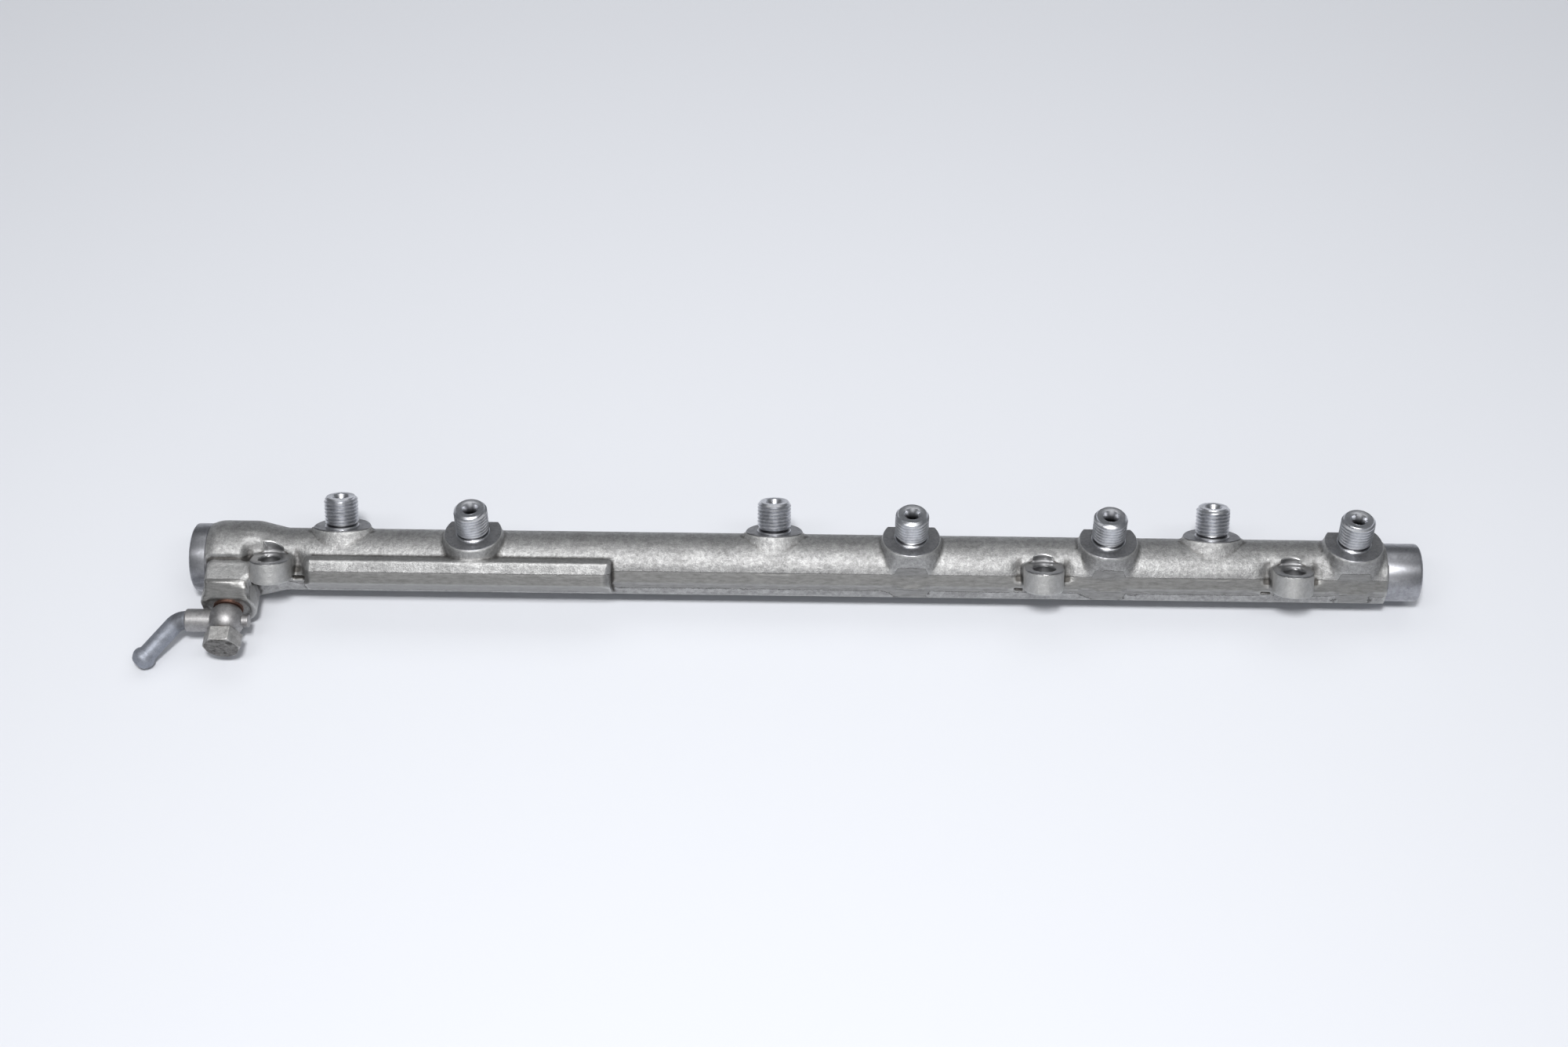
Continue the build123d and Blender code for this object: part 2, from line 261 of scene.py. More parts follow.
def maths(tree, operation, a, b):
    node = tree.nodes.new("ShaderNodeMath")
    node.operation = operation
    fill_inputs(tree, node, ((0, a), (1, b)))
    return node.outputs[0]


def make_mottle_group():
    """Uneven steel: broad clouds, fine grain and dark specks."""
    tree, start, end = group(
        "steel_mottle",
        [("Vector", "Vector", None), ("Float", "Cloud", 0.12), ("Float", "Grain", 1.4),
         ("Float", "Specks", 0.5)],
        [("Float", "Tone"), ("Float", "Speck"), ("Float", "Height")],
    )
    place = start.outputs["Vector"]
    cloud_scale = maths(tree, "MULTIPLY", start.outputs["Cloud"], 1 / MM)
    grain_scale = maths(tree, "MULTIPLY", start.outputs["Grain"], 1 / MM)
    noises = []
    for scale, detail, roughness in ((cloud_scale, 6.0, 0.65), (grain_scale, 5.0, 0.7),
                                     (maths(tree, "MULTIPLY", grain_scale, 0.3), 4.0, 0.6)):
        node = add(tree, "TexNoise", {"Vector": place, "Scale": scale}, Detail=detail, Roughness=roughness)
        noises.append(node.outputs[0])
    cloud, grain, mid = noises
    tone = maths(tree, "ADD", maths(tree, "MULTIPLY", cloud, 0.3),
                 maths(tree, "MULTIPLY", maths(tree, "ADD", grain, mid), 0.35))
    pits = add(tree, "TexVoronoi", {"Vector": place, "Scale": maths(tree, "MULTIPLY", grain_scale, 0.45)})
    rarity = maths(tree, "MULTIPLY", maths(tree, "SUBTRACT", 1.0, start.outputs["Specks"]), 0.6)
    speck = ramp(tree, maths(tree, "ADD", pits.outputs["Distance"], rarity), [(0.10, 1.0), (0.30, 0.0)])
    height = maths(tree, "ADD", maths(tree, "MULTIPLY", mid, 0.6), maths(tree, "MULTIPLY", grain, 0.4))
    for label, source in (("Tone", tone), ("Speck", speck), ("Height", height)):
        tree.links.new(source, end.inputs[label])
    return tree


MOTTLE = make_mottle_group()


def new_material(name, colour, metallic, roughness):
    """A material with its node tree, its shader and the socket of the object's coordinates."""
    material = bpy.data.materials.new(name)
    material.use_nodes = True
    tree = material.node_tree
    shader = tree.nodes["Principled BSDF"]
    shader.inputs["Base Color"].default_value = (*colour, 1)
    shader.inputs["Metallic"].default_value = metallic
    shader.inputs["Roughness"].default_value = roughness
    place = tree.nodes.new("ShaderNodeTexCoord").outputs["Object"]
    return material, tree, shader, place


def use_mottle(tree, place, cloud, grain, specks):
    """Places the shared mottle; cloud and grain are in repeats per mm."""
    node = tree.nodes.new("ShaderNodeGroup")
    node.node_tree = MOTTLE
    tree.links.new(place, node.inputs["Vector"])
    node.inputs["Cloud"].default_value = cloud
    node.inputs["Grain"].default_value = grain
    node.inputs["Specks"].default_value = specks
    return node


def with_specks(tree, mottle, amount, colour, dark):
    """A colour with the mottle's dark specks on it."""
    return mix_colour(tree, maths(tree, "MULTIPLY", mottle.outputs["Speck"], amount), colour, (*dark, 1))


def bump(tree, shader, height, strength, distance):
    """Feeds a height, in steps of a distance in mm, to the shader's normal."""
    node = add(tree, "Bump", {"Height": height}, Strength=strength, Distance=distance * MM)
    tree.links.new(node.outputs[0], shader.inputs["Normal"])


def make_forged():
    """Forged skin; the forging's own attributes say where it is machined, sheared, hollow or worn. Hollows
    are darkened, partly as soiling and partly as painted shade.
    """
    material, tree, shader, place = new_material("forged_steel", (0.3, 0.3, 0.31), 1.0, 0.4)
    mottle = use_mottle(tree, place, 0.07, 1.9, 0.3)
    marks = {}
    for label in FORGING_MARKS:
        marks[label] = add(tree, "Attribute", attribute_name=label).outputs["Fac"]

    # The sheared faces end in a torn line with a burr, the machined ones in a clean line
    ragged = noise_value(tree, place, 0.9, 5.0, 0.7)
    torn = maths(tree, "ADD", marks["sheared"],
                 maths(tree, "MULTIPLY", maths(tree, "SUBTRACT", ragged, 0.5), 0.55))
    sheared = ramp(tree, torn, [(0.47, 0.0), (0.53, 1.0)])
    burr = ramp(tree, torn, [(0.30, 0.0), (0.45, 1.0), (0.50, 1.0), (0.56, 0.0)])
    line = ramp(tree, torn, [(0.30, 0.0), (0.38, 0.8), (0.43, 0.8), (0.47, 0.0)])
    machined = ramp(tree, marks["machined"], [(0.44, 0.0), (0.56, 1.0)])
    strip = ramp(tree, marks["strip"], [(0.40, 0.0), (0.60, 0.85)])
    darkening = ramp(tree, maths(tree, "ADD", marks["hollow"], maths(tree, "MULTIPLY", ragged, 0.3)),
                [(0.28, 0.0), (0.75, 0.85)])

    skin = ramp(tree, mottle.outputs["Tone"],
                [(0.34, (0.22, 0.219, 0.217)), (0.5, (0.38, 0.379, 0.377)), (0.64, (0.56, 0.559, 0.556))])
    skin = with_specks(tree, mottle, 0.75, skin, (0.06, 0.058, 0.055))
    drawn = add(tree, "Mapping", {"Vector": place}, Scale=(0.25, 1.0, 1.0)).outputs[0]
    streaks = noise_value(tree, drawn, 1.1, 5.0, 0.65)
    shear_tone = ramp(tree, streaks,
                      [(0.30, (0.22, 0.218, 0.212)), (0.5, (0.29, 0.288, 0.282)), (0.7, (0.35, 0.348, 0.34))])
    shear_tone = with_specks(tree, mottle, 0.5, shear_tone, (0.08, 0.077, 0.07))
    colour = mix_colour(tree, sheared, skin, shear_tone)
    # Darkening of the hollows, nicks and lug grooves: partly soiling, partly painted shade
    colour = mix_colour(tree, darkening, colour, (0.055, 0.05, 0.045, 1))
    # Rims are lightened as wear; on the shoulder's upper face this colour is painted light
    colour = mix_colour(tree, maths(tree, "MULTIPLY", marks["rim"], 0.55), colour, (0.62, 0.62, 0.61, 1))
    colour = mix_colour(tree, line, colour, (0.10, 0.098, 0.095, 1))
    colour = mix_colour(tree, strip, colour, (0.13, 0.135, 0.15, 1))
    colour = mix_colour(tree, machined, colour, (0.33, 0.33, 0.335, 1))
    tree.links.new(colour, shader.inputs["Base Color"])

    rough = ramp(tree, mottle.outputs["Tone"], [(0.35, 0.62), (0.65, 0.48)])
    for mask, value in ((sheared, 0.46), (machined, 0.33), (darkening, 0.6)):
        rough = mix_colour(tree, mask, rough, (value, value, value, 1))
    tree.links.new(rough, shader.inputs["Roughness"])

    flat = maths(tree, "MAXIMUM", maths(tree, "MULTIPLY", machined, 0.9),
                 maths(tree, "MULTIPLY", sheared, 0.55))
    height = maths(tree, "MULTIPLY", mottle.outputs["Height"], maths(tree, "SUBTRACT", 1.0, flat))
    height = maths(tree, "ADD", height, maths(tree, "MULTIPLY", burr, 0.35))
    bump(tree, shader, height, 0.85, 0.42)
    return material


def make_turned(name, colour, roughness, groove_shade=0.0, grain=0.05):
    """Machined steel with stains, and painted shade in the grooves and bore that the piece's hollow attribute
    marks.
    """
    material, tree, shader, place = new_material(name, colour, 1.0, roughness)
    mottle = use_mottle(tree, place, 0.12, 1.0, 0.05)
    dark = tuple(c * 0.62 for c in colour)
    tone = ramp(tree, mottle.outputs["Tone"], [(0.38, dark), (0.56, colour)])
    tone = with_specks(tree, mottle, 0.5, tone, (0.07, 0.07, 0.075))
    hollow = add(tree, "Attribute", attribute_name="hollow").outputs["Fac"]
    # Painted shade in the thread roots, the undercut and the bore
    tone = mix_colour(tree, maths(tree, "MULTIPLY", hollow, groove_shade), tone, (0.05, 0.05, 0.055, 1))
    tree.links.new(tone, shader.inputs["Base Color"])
    rough = ramp(tree, mottle.outputs["Tone"], [(0.36, roughness + 0.14), (0.58, roughness)])
    tree.links.new(rough, shader.inputs["Roughness"])
    bump(tree, shader, mottle.outputs["Height"], grain, 0.08)
    return material


def make_plain(name, colour, metallic, roughness, depth):
    """Plated or dull steel, clouded, and darkened where the piece's own attribute asks for it."""
    material, tree, shader, place = new_material(name, colour, metallic, roughness)
    mottle = use_mottle(tree, place, 0.2, 1.6, 0.15)
    dark = tuple(c * 0.6 for c in colour)
    tone = ramp(tree, mottle.outputs["Tone"], [(0.36, dark), (0.58, colour)])
    hollow = add(tree, "Attribute", attribute_name="hollow").outputs["Fac"]
    patches = maths(tree, "ADD", noise_value(tree, place, 0.8, 5.0, 0.7), 0.35)
    darkening = ramp(tree, maths(tree, "MULTIPLY", hollow, patches), [(0.25, 0.0), (0.75, 0.9)])
    tone = mix_colour(tree, darkening, tone, (0.05, 0.048, 0.045, 1))
    tree.links.new(tone, shader.inputs["Base Color"])
    rough = mix_colour(tree, darkening, (roughness, roughness, roughness, 1), (0.65, 0.65, 0.65, 1))
    tree.links.new(rough, shader.inputs["Roughness"])
    bump(tree, shader, mottle.outputs["Height"], 0.35, depth)
    return material


FORGED = make_forged()
TURNED = make_turned("turned_steel", (0.40, 0.405, 0.43), 0.34, 0.5, 0.12)
SEAT = make_turned("seat_steel", (0.34, 0.342, 0.355), 0.44)
THREAD = make_turned("thread_steel", (0.66, 0.67, 0.70), 0.29, 0.97)
PLATED = make_plain("plated_steel", (0.43, 0.423, 0.426), 1.0, 0.52, 0.06)
DULL = make_plain("dull_steel", (0.56, 0.552, 0.54), 0.9, 0.5, 0.25)
PIPE_STEEL = make_plain("pipe_steel", (0.34, 0.36, 0.41), 0.8, 0.58, 0.06)
COPPER = make_plain("copper", (0.27, 0.16, 0.125), 1.0, 0.45, 0.1)


# ---------- forged skin ----------

def slope_turn(start, height):
    """Angle of the slope that passes a place on a leaning flat and touches the tube."""
    return degrees(atan2(start, height) + acos(TUBE / hypot(start, height)))


def port_list():
    """(station, angle, flat) of each port."""
    for distance in UPRIGHT_PORTS:
        yield distance, 0.0, UPRIGHT_FLAT
    for distance in LEANING_PORTS:
        yield distance, PORT_TILT, LEANING_FLAT


def clamp(value, low=0.0, high=1.0):
    return max(low, min(high, value))


def near_port(distance, out, up, reach=BOSS + 2):
    """The port whose boss a place belongs to, with its height over the axis and its way aside."""
    for station, angle, flat in port_list():
        if abs(distance - station) < reach:
            a = radians(angle)
            height = up * cos(a) + out * sin(a)
            aside = out * cos(a) - up * sin(a)
            if hypot(distance - station, aside) < reach and height > 0:
                return station, angle, flat, height, aside
    return None


def near_lug(distance, out):
    """The lug that a place may belong to: its station, and how far the place is from its hole's axis."""
    for station in LUGS:
        if abs(distance - station) < 16.0 and out > 6.0:
            return station, hypot(distance - station, out - LUG_OUT)
    return None


def surface_marks(distance, out, up):
    """(machined, sheared) of a place on the forging, each 0.5 at the edge of its face."""
    machined = 0.0
    port = near_port(distance, out, up)
    if port:
        station, angle, flat, height, aside = port
        machined = clamp(0.5 + (height - flat + 0.35) / 0.5)
        machined *= clamp(0.5 + (BOSS - hypot(distance - station, aside)))
    lug = near_lug(distance, out)
    if lug:
        over = clamp(0.5 + (up - LUG_TOP + 0.45) / 0.4) * clamp(0.5 + (SPOTFACE + 0.2 - lug[1]))
        machined = max(machined, over, clamp(0.5 + (LUG_HOLE + 0.3 - lug[1])))
    sheared = 0.0
    if distance > 27:
        top = 0.3
        for station in LEANING_PORTS:
            top += 3.2 * clamp((7.0 - abs(distance - station)) / 1.2)
        sheared = clamp(0.5 + (top - up) / 1.6) * clamp(0.5 + (out - TUBE + 1.2 + max(0.0, top - 0.3)))
    if RIB[0] - 1 < distance < RIB[1] + 1 and out > 15.5:
        sheared = clamp(0.5 + (0.3 - up) / 1.6)
    if SHOULDER[0] - 0.5 < distance < SHOULDER[1] + 0.5 and out > 21.9:
        sheared = 1.0
    if lug and lug[1] < LUG + 0.7:
        sheared = 0.0
    return machined, sheared


def softening(co):
    """How softly a place is blended into the forms round it: 0 not at all, 4 the most."""
    distance, out, up = rail_place(co)
    lug = near_lug(distance, out)
    if lug and out > 7.5 and up > LUG_BOTTOM - 1.5:
        on_lug = lug[1] < LUG + 0.3 and out > LUG_OUT - 8.5
        on_cut = lug[1] < SPOTFACE + 0.5 and up > LUG_TOP - 0.8
        return 0 if on_lug or on_cut else 4
    port = near_port(distance, out, up, BOSS + 4)
    if port and port[3] < port[2] - 1.0 and out > 0:
        return 3 if port[1] else 1
    if distance < 30 and up > -6:
        return 3 if out < 21.3 or distance < 11 or distance > 23.5 else 0
    if RIB[0] - 4 < distance < RIB[1] + 4 and out > 9 and up > 1.5:
        return 1
    return 0


def upright_front(along, aside):
    """Height of the forged front of an upright boss, which curves down ever steeper to the tube."""
    tube = (max(TUBE ** 2 - aside ** 2, 0.0)) ** 0.5
    past = hypot(along, aside + FLAT_BACK) - FLAT_EDGE
    cone = UPRIGHT_FLAT - 1.7 * past - 0.8 * max(past, 0.0) ** 2
    part = clamp(0.5 + 0.5 * (cone - tube) / 1.7)
    return min(UPRIGHT_FLAT - 0.1, tube + (cone - tube) * part + 1.7 * part * (1 - part))


def shape_boss_fronts(bm):
    """Gives the fronts of the bosses their forged forms."""
    for vert in bm.verts:
        distance, out, up = rail_place(vert.co)
        if out < 0 or up < -6:
            continue
        # The upright bosses get a curved front, and the skin under it is drawn back to the tube
        for station in UPRIGHT_PORTS:
            along = abs(distance - station)
            if along < 19 and out < 12.2 and up > 0 and hypot(out, up) > TUBE - 0.4:
                weight = clamp((12.2 - out) / 1.2) * clamp(out / 1.5) * clamp((19 - along) / 4)
                wanted = upright_front(along, out)
                if up < UPRIGHT_FLAT + 0.2:
                    vert.co += across(0) * (wanted - up) * weight * MM
                    up += (wanted - up) * weight
            turn = degrees(atan2(out, up))
            reach = hypot(out, up)
            by_rib = RIB[0] - 2 < distance < RIB[1] + 2 and up < 6.2
            if along < 16 and 48 < turn < 92 and TUBE + 0.05 < reach < 15.5 and not by_rib:
                keep = clamp((56 - turn) / 8)
                pull = (TUBE + (reach - TUBE) * keep) / reach - 1
                vert.co += (across(0) * up + across(90) * out) * pull * MM
        # The pockets beside the lugs are filled low down, so that a groove stays above
        lug = near_lug(distance, out)
        if lug and lug[1] > LUG + 0.4 and 7.5 < abs(distance - lug[0]) < 14.5 and distance > 44:
            if -5.6 < up < 1.4 and 7.0 < out < TRIM_OUT:
                below, above = clamp((1.4 - up) / 2.4), clamp((up + 5.6) / 0.6)
                vert.co += across(90) * (TRIM_OUT - out) * below * above * MM
        # The leaning bosses are trimmed flush with the front
        for station in LEANING_PORTS:
            if abs(distance - station) < 13 and not RIB[0] < distance < RIB[1]:
                front = TRIM_OUT + 0.02 + 0.45 * max(up, 0.0)
                if out > front and up < 10.5:
                    vert.co += across(90) * (front - out) * MM


# Nicks beside the lugs: distance, out, up, half length, half height and depth
NICKS = (
    (347.6, 12.6, -5.6, 2.1, 0.9, 1.5),
    (450.2, 12.4, -5.9, 2.3, 0.8, 1.5),
    (46.0, 13.0, -4.2, 3.0, 1.1, 1.8),
    (28.0, 14.6, -5.0, 2.6, 1.6, 1.4),
)


def cut_nicks(bm):
    """Sinks each nick as a wedge, deepest at its left end."""
    bm.normal_update()
    for vert in bm.verts:
        distance, out, up = rail_place(vert.co)
        for station, nick_out, nick_up, wide, tall, deep in NICKS:
            x, y = (distance - station) / wide, (up - nick_up) / tall
            if abs(x) < 1 and abs(y) < 1 and abs(out - nick_out) < 2.5:
                wedge = clamp(1.6 * (1 - abs(y)) * (1 - 0.5 * (x + 1) * 0.8)) * clamp(3 * (1 - abs(x)))
                vert.co -= vert.normal * deep * wedge * MM


VALLEY_DEPTH = 0.85


def cut_valley(bm):
    """Sinks the valley that sets the shoulder of the return union off from the swell."""
    bm.normal_update()
    for vert in bm.verts:
        distance, out, up = rail_place(vert.co)
        if 4 < distance < 27 and out > 9 and -8 < up < 9:
            # Height square to the shoulder's top, which slopes; the valley runs 4 mm outside it
            height = 0.947 * up - 0.326 * out
            past = hypot(max(abs(distance - 19) - 8, 0.0), max(height + 4.8, 0.0)) - 4
            wedge = max(0.0, 1 - abs(past - 0.2) / 2.1)
            fade = clamp((27 - distance) / 2)
            vert.co -= vert.normal * VALLEY_DEPTH * wedge * wedge * (3 - 2 * wedge) * fade * MM


def in_nick(distance, out, up):
    """Whether a place lies at the bottom of a nick."""
    return any(abs(distance - d) < w * 0.8 and abs(up - u) < t * 0.75 and abs(out - o) < 2.5
               for d, o, u, w, t, _ in NICKS)


def soften(bm, verts, factor, times):
    """Smooths a set of vertices a number of times."""
    for _ in range(times):
        bmesh.ops.smooth_vert(bm, verts=verts, factor=factor,
                              use_axis_x=True, use_axis_y=True, use_axis_z=True)


def wear_shade_and_light(distance, out, up, hollow, rim):
    """Corrects how hollow and how worn a place counts, in nicks, round the lugs and on the shoulder: painted
    shadow at the bottom of the nicks, painted shade in the grooves beside the lugs, the rim colour on the lug
    fronts, and painted light on the shoulder's upper face.
    """
    # Painted shadow at the bottom of each nick
    if in_nick(distance, out, up):
        return NICK_PAINTED_SHADOW, rim
    lug = near_lug(distance, out)
    if lug:
        station, from_hole = lug
        beside = abs(distance - station)
        # Painted shade in the grooves beside the lugs, darkest at their lower end
        if GROOVE[0] < beside < GROOVE[1] and out < 15 and -2.6 < up < 8.5:
            shade = clamp((GROOVE[1] - beside) / 1.6) * clamp((8.5 - up) / 2) * clamp((up + 2.6) / 1.2)
            return max(hollow, (0.42 + 0.45 * clamp((1.2 - up) / 1.2)) * shade), rim * (1 - shade)
        if from_hole < LUG + 0.6 and up < LUG_TOP - 0.5 and out > LUG_OUT - 2:
            return hollow, max(rim, 0.85)
        if from_hole < SPOTFACE + 2.5 and up > LUG_TOP:
            return hollow, rim * 0.4
    if SHOULDER[0] < distance < SHOULDER[1]:
        # Painted light: the shoulder's upper face is lightened with the rim colour
        if 16 < out < 22:
            return hollow, max(rim, 0.35)
        if out > 22:
            return hollow, rim * 0.2
    return hollow, rim


def mark_forging(bm):
    """Stores on each vertex what the forging's material reads."""
    # Hollows and rims are where a rounded copy lies above and below the skin
    rounded = bm.copy()
    soften(rounded, rounded.verts[:], 0.6, 14)
    bm.normal_update()
    layers = [bm.verts.layers.float.new(label) for label in FORGING_MARKS]
    for vert, moved in zip(bm.verts, rounded.verts):
        distance, out, up = rail_place(vert.co)
        machined, sheared = surface_marks(distance, out, up)
        relief = (moved.co - vert.co).dot(vert.normal) / MM
        hollow, rim = wear_shade_and_light(distance, out, up, clamp(relief / 0.30), clamp(-relief / 0.22 - 0.25))
        turn = degrees(atan2(out, up))
        strip = clamp(0.5 + (STRIP_HALF_LENGTH - abs(distance - STRIP_STATION)) / 2)
        strip *= clamp(0.5 + (STRIP_HALF_TURN - abs(turn - STRIP_TURN)) / 2)
        for layer, value in zip(layers, (machined, sheared, hollow, rim, strip)):
            vert[layer] = value
    rounded.free()


def make_forging():
    """The forging: a softened copy of the rail with the forms and marks that the solid leaves out."""
    bm = node_copy("rail_body")
    # The middle of the bore is filled: it can't be seen from either end
    core = Matrix.Translation(spot(270)) @ Matrix.Rotation(radians(90), 4, "Y") @ Matrix.Scale(MM, 4)
    bmesh.ops.create_cone(bm, cap_ends=True, segments=48, radius1=7.0, radius2=7.0, depth=420.0, matrix=core)
    bm = remeshed(bm, 0.5)
    # The spigots and the turned ends are pieces of their own
    gone = []
    for vert in bm.verts:
        distance, out, up = rail_place(vert.co)
        port = near_port(distance, out, up, 8.5)
        if port and port[3] > port[2] + 0.25 or distance < 6.2 or distance > FORGING_END + 0.6:
            gone.append(vert)
    bmesh.ops.delete(bm, geom=gone, context="VERTS")
    soften(bm, bm.verts[:], 0.5, 2)
    shape_boss_fronts(bm)
    levels = {vert: softening(vert.co) for vert in bm.verts}
    for level, times in ((1, 8), (2, 6), (3, 10), (4, 44)):
        soften(bm, [vert for vert, own in levels.items() if own >= level], 0.5, times)
    cut_nicks(bm)
    cut_valley(bm)
    mark_forging(bm)
    obj = piece("forging", bm, FORGED, ("rail_body",))
    thinned(obj, FORGING_TRIANGLES)
    for poly in obj.data.polygons:
        poly.use_smooth = True


# ---------- spigots with their threads ----------

# Radii and heights over the seat in mm
THREAD_RADIUS = 7.0
THREAD_PITCH = 1.5
THREAD_ROOT = 6.1
SPIGOT_LENGTH = 13.16
UNDERCUT = 6.3
UNDERCUT_TOP = 1.5
COLLAR = 0.8
LEAD_IN = 1.15
SEAT_MOUTH = 3.55
PORT_BORE = 1.5
TURN_STEPS = 72


def cut_level(bm, verts, level, direction):
    """Cuts a set of vertices and what they carry off past a level."""
    own = set(verts)
    edges = [e for e in bm.edges if e.verts[0] in own]
    faces = [f for f in bm.faces if f.verts[0] in own]
    bmesh.ops.bisect_plane(bm, geom=verts + edges + faces, dist=1e-5, plane_co=(0, 0, level),
                           plane_no=(0, 0, direction), clear_outer=True)


def add_thread(bm, crest, root, low, high, runs=()):
    """Screws a thread profile round z between two heights.

    Each run is (height, radius, rise): the thread is turned down to a cone that starts there.
    """
    before = set(bm.verts)
    pitch = THREAD_PITCH
    turns = int((high - low) / pitch) + 3
    start = low - 1.5 * pitch
    flat = 0.13 * pitch
    outline = ((root, 0.0), (crest, 0.5 * pitch - 1.5 * flat), (crest, 0.5 * pitch + 0.5 * flat),
               (root, pitch - flat), (root, pitch))
    verts = [bm.verts.new((radius, 0, start + z)) for radius, z in outline]
    edges = [bm.edges.new(pair) for pair in zip(verts, verts[1:])]
    bmesh.ops.spin(bm, geom=verts + edges, axis=(0, 0, 1), cent=(0, 0, 0), angle=2 * pi * turns,
                   steps=TURN_STEPS * turns, dvec=(0, 0, pitch / TURN_STEPS))
    bmesh.ops.remove_doubles(bm, verts=[v for v in bm.verts if v not in before], dist=1e-3)
    cut_level(bm, [v for v in bm.verts if v not in before], low, -1)
    cut_level(bm, [v for v in bm.verts if v not in before], high, 1)
    for vert in bm.verts:
        if vert in before:
            continue
        reach = hypot(vert.co.x, vert.co.y)
        for height, radius, rise in runs:
            limit = radius + abs(vert.co.z - height) * rise
            if reach > limit:
                vert.co.x *= limit / reach
                vert.co.y *= limit / reach
                reach = limit


def outward(bm):
    """Turns the faces of a turned piece so that they point away from its metal."""
    bmesh.ops.recalc_face_normals(bm, faces=bm.faces)


def make_spigot(name, distance, angle, flat, first_turn):
    """A port's spigot on its machined seat; first_turn is the angle at which its thread starts."""
    bm = bmesh.new()
    # Machined seat round the spigot, cut off by the slope or the curved front of the boss
    lathe(bm, [(THREAD_RADIUS - 0.5, 0.05), (BOSS - 0.35, 0.05), (BOSS - 0.12, -0.15),
               (BOSS - 0.5, -0.6)], TURN_STEPS)
    if angle:
        slope = radians(slope_turn(SLOPE_BACK, flat))
        normal = Vector((0, sin(slope), cos(slope)))
        bmesh.ops.bisect_plane(bm, geom=bm.verts[:] + bm.edges[:] + bm.faces[:], dist=1e-5,
                               plane_co=normal * (TUBE + 0.12) - Vector((0, 0, flat)),
                               plane_no=normal, clear_outer=True)
    else:
        for vert in bm.verts:
            if vert.co.y < 0 and hypot(vert.co.x, FLAT_BACK - vert.co.y) > FLAT_EDGE:
                vert.co.y = min(FLAT_BACK - (FLAT_EDGE ** 2 - vert.co.x ** 2) ** 0.5, 0.0)
    for face in bm.faces:
        face.material_index = 1
    seat = set(bm.verts)
    # Collar and undercut, then the mouth with its cone seat, then the thread between them
    top = SPIGOT_LENGTH
    seat_floor = top - (SEAT_MOUTH - PORT_BORE) / tan(radians(30))
    lathe(bm, [(THREAD_RADIUS + 0.1, 0.03), (THREAD_RADIUS + 0.1, COLLAR - 0.25),
               (THREAD_RADIUS - 0.15, COLLAR), (UNDERCUT + 0.3, COLLAR), (UNDERCUT, COLLAR + 0.3),
               (UNDERCUT, UNDERCUT_TOP + 0.02)], TURN_STEPS)
    lathe(bm, [(THREAD_RADIUS - LEAD_IN, top), (SEAT_MOUTH + 0.3, top), (SEAT_MOUTH + 0.05, top - 0.12),
               (SEAT_MOUTH - 0.1, top - 0.4), (PORT_BORE, seat_floor), (PORT_BORE, 7.2 - flat)], TURN_STEPS)
    add_thread(bm, THREAD_RADIUS, THREAD_ROOT, UNDERCUT_TOP, top,
               ((UNDERCUT_TOP, UNDERCUT, 1.0), (top, THREAD_RADIUS - LEAD_IN, 0.9)))
    bmesh.ops.rotate(bm, verts=[v for v in bm.verts if v not in seat], cent=(0, 0, 0),
                     matrix=Matrix.Rotation(radians(first_turn), 3, "Z"))
    bmesh.ops.remove_doubles(bm, verts=bm.verts, dist=5e-3)
    outward(bm)
    # Painted shade for the thread roots, the undercut and the port's bore
    groove = bm.verts.layers.float.new("hollow")
    for vert in bm.verts:
        reach = hypot(vert.co.x, vert.co.y)
        if reach > UNDERCUT - 0.1 and COLLAR < vert.co.z < top - LEAD_IN:
            vert[groove] = clamp((THREAD_RADIUS - 0.1 - reach) / 0.42)
        if reach < SEAT_MOUTH - 0.6:
            vert[groove] = clamp((SEAT_MOUTH - 0.6 - reach) / 1.2)
    bmesh.ops.transform(bm, matrix=on_boss(distance, angle, flat), verts=bm.verts)
    obj = piece(name, bm, THREAD, ())
    obj.data.materials.append(SEAT)


# ---------- turned ends and bore ----------

# Radii in mm: the threads are cut from the drill's radius outwards
RING = 14.5
TURNED_END = 12.1
LEFT_THREAD, LEFT_DRILL = 9.0, 8.25
RIGHT_THREAD, RIGHT_DRILL = 6.0, 5.25
END_STEPS = 128


def make_turned_ends():
    """Sealing ring at the left, plain turned end at the right, the bore and the end threads."""
    bm = bmesh.new()
    # Left: sealing ring, thread and bore
    lathe(bm, [(12.0, 11.0), (13.9, 7.6), (14.3, 6.9), (RING, 6.6), (RING, 1.0), (14.35, 0.55), (13.6, 0.0),
               (9.7, 0.0), (LEFT_THREAD, 0.75)], END_STEPS)
    add_thread(bm, LEFT_DRILL, LEFT_THREAD, 0.75, 18.0)
    lathe(bm, [(LEFT_THREAD, 18.0), (LEFT_DRILL, 18.4), (LEFT_DRILL, 21.0), (BORE, 21.0), (BORE, 62.0)])
    # Right: plain turned end with its own thread
    end = RAIL_LENGTH
    lathe(bm, [(11.6, FORGING_END - 2.0), (TURNED_END, FORGING_END - 0.4), (TURNED_END, end - 1.3),
               (11.9, end - 0.6), (11.2, end), (6.6, end), (RIGHT_THREAD, end - 0.7)], END_STEPS)
    add_thread(bm, RIGHT_DRILL, RIGHT_THREAD, end - 12.0, end - 0.7)
    lathe(bm, [(RIGHT_THREAD, end - 12.0), (RIGHT_DRILL, end - 12.4), (RIGHT_DRILL, end - 14.0),
               (2.0, end - 14.0), (2.0, end - 22.0)])
    bmesh.ops.remove_doubles(bm, verts=bm.verts, dist=5e-3)
    outward(bm)
    matrix = Matrix.Translation(spot(0)) @ Matrix.Rotation(radians(90), 4, "Y") @ Matrix.Scale(MM, 4)
    bmesh.ops.transform(bm, matrix=matrix, verts=bm.verts)
    piece("turned_ends", bm, TURNED, ())


# ---------- union parts ----------

